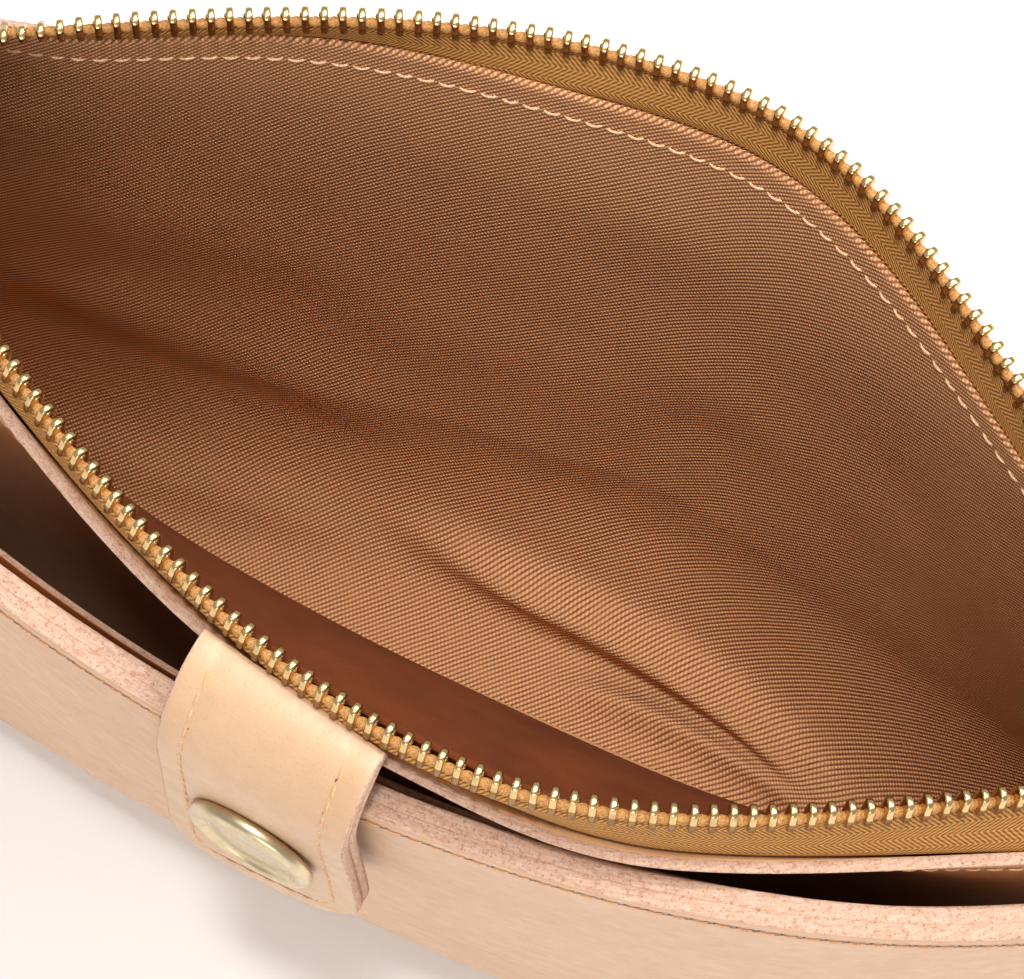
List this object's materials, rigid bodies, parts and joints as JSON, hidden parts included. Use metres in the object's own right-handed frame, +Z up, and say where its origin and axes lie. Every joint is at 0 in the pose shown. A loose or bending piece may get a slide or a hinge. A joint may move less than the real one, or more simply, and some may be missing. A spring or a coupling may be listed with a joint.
{
  "type": "zippered pouch",
  "caption": "Open zippered leather pouch with a boxed base, twill lining, front slip pocket and a snap tab over the pocket's edge.",
  "frame": {"origin": "centre of the base's footprint, on the surface that the pouch stands on", "axes": "+X along the zipper from its slider end to its open end, -Y to the front with the slip pocket, +Z up"},
  "size_m": [0.2294, 0.0918, 0.1355],
  "materials": {
    "tan_leather": "natural vegetable-tanned, smooth, slight sheen",
    "divider_leather": "thin tanned leather, unfinished",
    "brown_suede": "smooth brown suede-like facing",
    "twill": "brown cotton twill",
    "tape": "golden-brown herringbone tape",
    "gilt_metal": "polished pale gold"
  },
  "bodies": {
    "pouch": {"front_panel": "tan_leather", "back_panel": "tan_leather", "base_panel": "tan_leather", "pocket_panel": "tan_leather", "pocket_backing": "tan_leather", "pocket_divider": "divider_leather", "front_facing": "brown_suede", "lining_front": "twill", "lining_back": "twill", "lining_base": "twill", "zipper_tape_front": "tape", "zipper_tape_back": "tape", "closed_teeth_front": "gilt_metal", "closed_teeth_back": "gilt_metal", "open_teeth_front": "gilt_metal", "open_teeth_back": "gilt_metal", "top_stops": "gilt_metal", "bottom_stop": "gilt_metal", "snap_stud": "gilt_metal", "stud_rivet": "gilt_metal"},
    "slider": {"slider_body": "gilt_metal", "slider_crown": "gilt_metal"},
    "pull": {"zipper_pull": "gilt_metal"},
    "snap_tab": {"snap_tab_outer": "tan_leather", "snap_tab_lining": "tan_leather", "snap_cap": "gilt_metal", "snap_socket": "gilt_metal"}
  },
  "joints": [
    {"name": "slider_travel", "type": "slide", "parent": "pouch", "child": "slider", "axis": [1, 0, 0], "range_m": [-0.015, 0], "deforming": ["closed_teeth_front", "closed_teeth_back", "zipper_tape_front", "zipper_tape_back"]},
    {"name": "pull_swing", "type": "hinge", "parent": "slider", "child": "pull", "pos_m": [-0.0795, 0, 0.13335], "axis": [0, 1, 0], "range_deg": [0, 170]},
    {"name": "tab_lift", "type": "hinge", "parent": "pouch", "child": "snap_tab", "pos_m": [0, -0.0434, 0.1266], "axis": [-0.9925, 0.1219, 0], "range_deg": [0, 100]}
  ]
}
